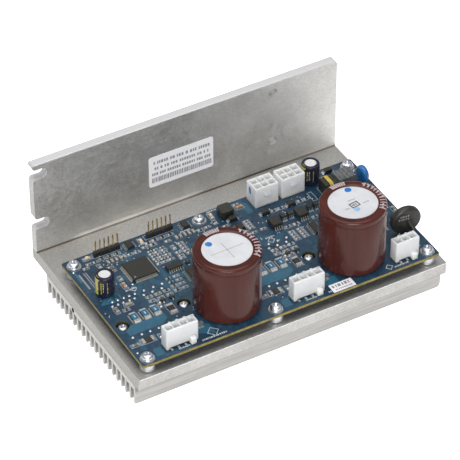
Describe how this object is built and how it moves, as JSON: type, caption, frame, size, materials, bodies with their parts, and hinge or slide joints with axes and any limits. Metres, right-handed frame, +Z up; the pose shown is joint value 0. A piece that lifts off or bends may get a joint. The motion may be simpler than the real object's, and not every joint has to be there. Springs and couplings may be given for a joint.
{
  "type": "servo drive",
  "caption": "Open-frame two-channel servo drive: bare circuit board on standoffs over an L-shaped aluminium mounting bracket with a fin heatsink underneath.",
  "frame": {"origin": "middle of the footprint of the whole object, level with the tips of the heatsink fins", "axes": "+X to the right along the long side, +Y back to the mounting flange, +Z up"},
  "size_m": [0.1808, 0.1174, 0.0768],
  "materials": {
    "mill_aluminium": "mill finish, fine rolling grain",
    "extruded_aluminium": "extruded",
    "plated_steel": "bright zinc or nickel plate",
    "board_laminate": "blue solder mask",
    "module_resin": "moulded",
    "thermal_film": "matte",
    "capacitor_can": "drawn",
    "maroon_sleeve": "shrink film",
    "white_card": "matte",
    "navy_sleeve": "shrink film",
    "natural_nylon": "moulded, slightly translucent",
    "header_black": "moulded",
    "chip_resin": "moulded",
    "ferrite": "satin",
    "winding_black": "wrapped",
    "polyester_tape": "film",
    "thermistor_coat": "dipped",
    "blue_coat": "dipped, glossy",
    "shunt_blue": "printed",
    "label_stock": "satin"
  },
  "bodies": {
    "root": {"board_label": "label_stock", "board_screw_1": "plated_steel", "board_screw_2": "plated_steel", "board_screw_3": "plated_steel", "board_screw_4": "plated_steel", "board_screw_5": "plated_steel", "board_screw_6": "plated_steel", "bus_capacitor_can_1": "capacitor_can", "bus_capacitor_can_2": "capacitor_can", "bus_capacitor_disc_1": "white_card", "bus_capacitor_disc_2": "white_card", "bus_capacitor_sleeve_1": "maroon_sleeve", "bus_capacitor_sleeve_2": "maroon_sleeve", "circuit_board": "board_laminate", "controller_chip": "chip_resin", "current_shunt_1": "shunt_blue", "current_shunt_2": "shunt_blue", "current_shunt_3": "shunt_blue", "current_shunt_4": "shunt_blue", "current_shunt_5": "shunt_blue", "current_shunt_6": "shunt_blue", "disc_capacitor": "blue_coat", "driver_chip_1": "chip_resin", "driver_chip_2": "chip_resin", "driver_chip_3": "chip_resin", "flange_label": "label_stock", "heatsink": "extruded_aluminium", "inrush_thermistor": "thermistor_coat", "module_screw_1": "plated_steel", "module_screw_2": "plated_steel", "module_screw_3": "plated_steel", "module_screw_4": "plated_steel", "mounting_bracket": "mill_aluminium", "optocoupler_1": "chip_resin", "optocoupler_2": "chip_resin", "output_connector_1": "natural_nylon", "output_connector_2": "natural_nylon", "output_connector_3": "natural_nylon", "pin_header_1": "header_black", "pin_header_2": "header_black", "power_inductor": "ferrite", "power_module_1": "module_resin", "power_module_2": "module_resin", "rear_connector_1": "natural_nylon", "rear_connector_2": "natural_nylon", "small_capacitor_can_1": "capacitor_can", "small_capacitor_can_2": "capacitor_can", "small_capacitor_sleeve_1": "navy_sleeve", "small_capacitor_sleeve_2": "navy_sleeve", "standoff_1": "plated_steel", "standoff_2": "plated_steel", "standoff_3": "plated_steel", "standoff_4": "plated_steel", "standoff_5": "plated_steel", "standoff_6": "plated_steel", "thermal_pad_1": "thermal_film", "thermal_pad_2": "thermal_film", "transformer_core": "ferrite", "transformer_tape": "polyester_tape", "transformer_winding": "winding_black"}
  },
  "joints": []
}
